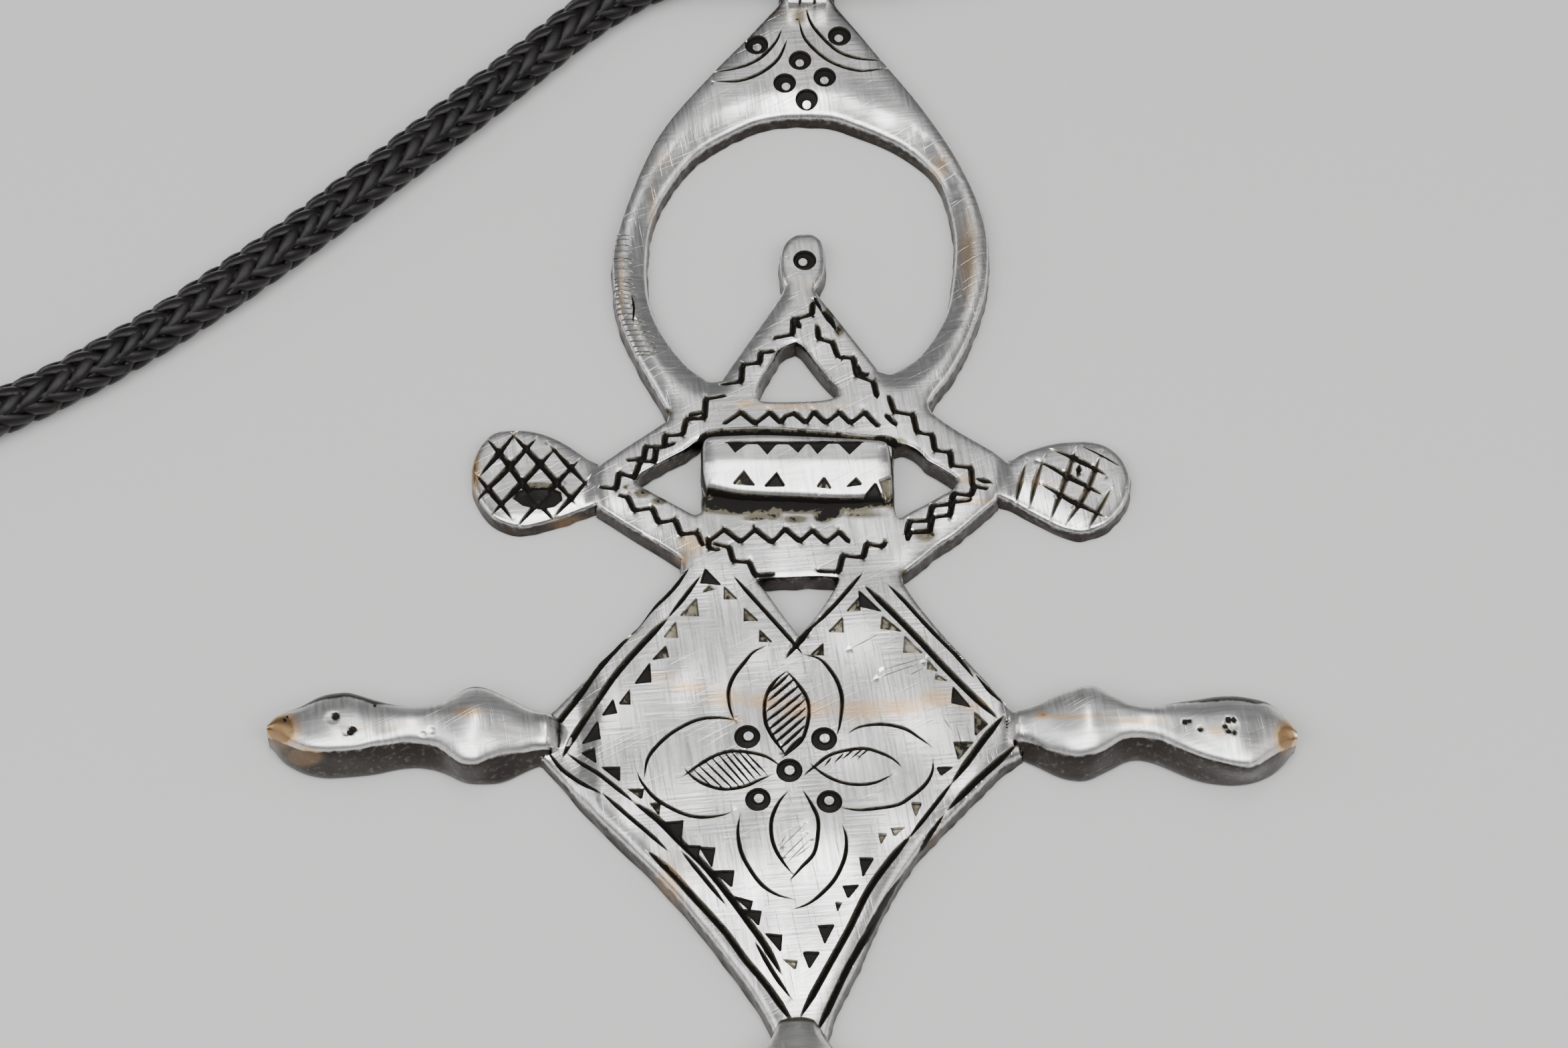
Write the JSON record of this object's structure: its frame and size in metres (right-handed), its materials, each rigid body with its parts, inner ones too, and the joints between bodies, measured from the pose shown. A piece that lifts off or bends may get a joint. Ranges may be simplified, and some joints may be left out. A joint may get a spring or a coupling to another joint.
{
  "type": "tuareg cross pendant on a braided neck cord",
  "caption": "Flat engraved metal cross with a ring, pierced lozenge, diamond and baluster arms, on a braided cord loop.",
  "frame": {"origin": "middle of the engraved diamond, on the pendant's flat back", "axes": "+Z out of the engraved face, +Y towards the pendant's bail, +X to the right as seen from the front"},
  "size_m": [0.2103, 0.2368, 0.0058],
  "materials": {
    "silver": "hand-filed silver, tarnished, black in the engraving",
    "waxed_cord": "black waxed braid",
    "clasp_metal": "plain brushed metal"
  },
  "bodies": {
    "root": {"cross": "silver", "neck_cord": "waxed_cord", "clasp": "clasp_metal"}
  },
  "joints": []
}
